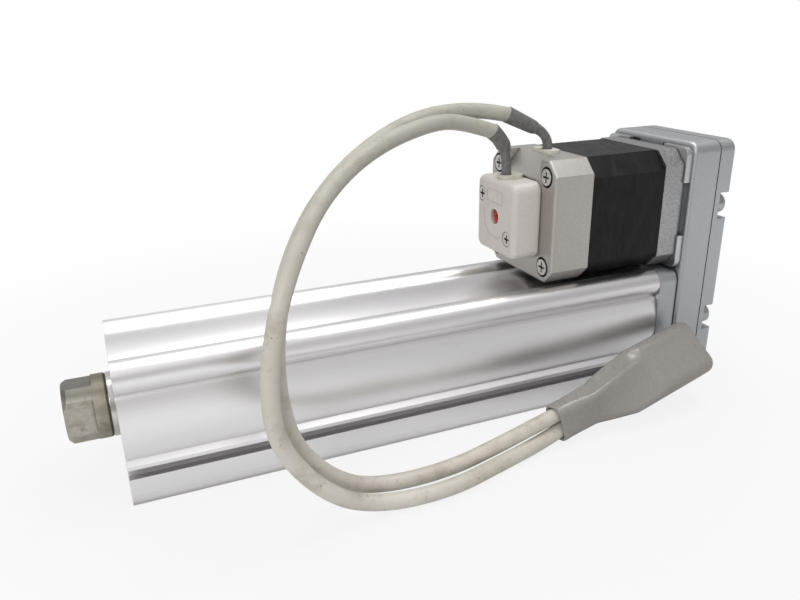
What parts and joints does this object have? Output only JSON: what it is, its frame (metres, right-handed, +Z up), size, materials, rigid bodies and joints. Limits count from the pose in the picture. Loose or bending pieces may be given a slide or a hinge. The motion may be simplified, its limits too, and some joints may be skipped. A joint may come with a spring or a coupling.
{
  "type": "electric cylinder",
  "caption": "Rod-type electric cylinder: extruded body with a sliding rod, belt housing at the rear, motor with encoder folded back on top, cables ending in a connector boot.",
  "frame": {"origin": "on the rod axis in the plane of the body's front face, the middle of the front bolt pattern", "axes": "-X out of the front face along the rod, +X towards the belt housing, +Z up from the mounting base to the motor"},
  "size_m": [0.2305, 0.0813, 0.1068],
  "materials": {
    "anodised": "clear anodised, satin",
    "die_cast": "fine-grain die-cast",
    "machined": "machined",
    "motor_casting": "cast",
    "black_stack": "matt black laminations",
    "bright_steel": "ground",
    "spring_steel": "blackened",
    "nickel": "nickel plated",
    "dark_iron": "dull",
    "bronze": "sintered",
    "black_rubber": "matt",
    "guide_plastic": "matt",
    "dark_plastic": "gloss",
    "board": "lacquered",
    "cap_plastic": "moulded, satin",
    "cream_plastic": "soft",
    "cable": "soft sheath",
    "grey_sleeve": "shrunk tube",
    "boot": "soft gloss",
    "red_paint": "painted"
  },
  "bodies": {
    "body": {"tube": "anodised", "rod_cover": "machined", "rod_bushing": "bronze", "rod_seal": "black_rubber", "retaining_ring": "spring_steel", "front_bumper": "black_rubber", "rear_bumper": "black_rubber", "bearing_housing": "machined", "screw_bearing_outer": "bright_steel", "bearing_retainer": "machined", "return_box": "die_cast", "return_plate": "die_cast", "plate_screws": "nickel", "tube_screws": "nickel", "motor_mount_screws": "nickel", "motor_adapter": "machined", "motor_front_casting": "motor_casting", "motor_stack": "black_stack", "motor_rear_casting": "motor_casting", "motor_screws": "nickel", "motor_bearing_outers": "bright_steel", "timing_belt": "black_rubber", "encoder_cap": "cap_plastic", "cap_screws": "nickel", "encoder_board": "board", "cap_grommet": "cream_plastic", "bell_grommet": "cream_plastic", "encoder_cable": "cable", "motor_cable": "cable", "encoder_sleeve": "grey_sleeve", "motor_sleeve": "grey_sleeve", "connector_boot": "boot"},
    "rod": {"piston_rod": "bright_steel", "rod_socket": "nickel", "piston": "machined", "magnet_ring": "dark_iron", "rotation_stopper": "guide_plastic", "ball_nut": "bright_steel"},
    "screw": {"ball_screw": "bright_steel", "screw_bearing_inner": "bright_steel", "screw_lock_nut": "spring_steel", "screw_pulley": "machined"},
    "rotor": {"motor_rotor": "dark_iron", "motor_shaft": "bright_steel", "motor_bearing_inners": "bright_steel", "motor_pulley": "machined", "encoder_disc": "dark_plastic", "override_screw": "red_paint"}
  },
  "joints": [
    {"name": "rod_slide", "type": "slide", "parent": "body", "child": "rod", "axis": [-1, 0, 0], "range_m": [0, 0.1]},
    {"name": "screw_spin", "type": "hinge", "parent": "body", "child": "screw", "pos_m": [0.1, 0, 0], "axis": [1, 0, 0], "continuous": true},
    {"name": "motor_spin", "type": "hinge", "parent": "body", "child": "rotor", "pos_m": [0.17, 0, 0.0435], "axis": [1, 0, 0], "continuous": true}
  ],
  "couplings": [
    {"joint": "screw_spin", "follows": "rod_slide", "rad_per_m": 2094.4},
    {"joint": "motor_spin", "follows": "rod_slide", "rad_per_m": 2094.4}
  ]
}
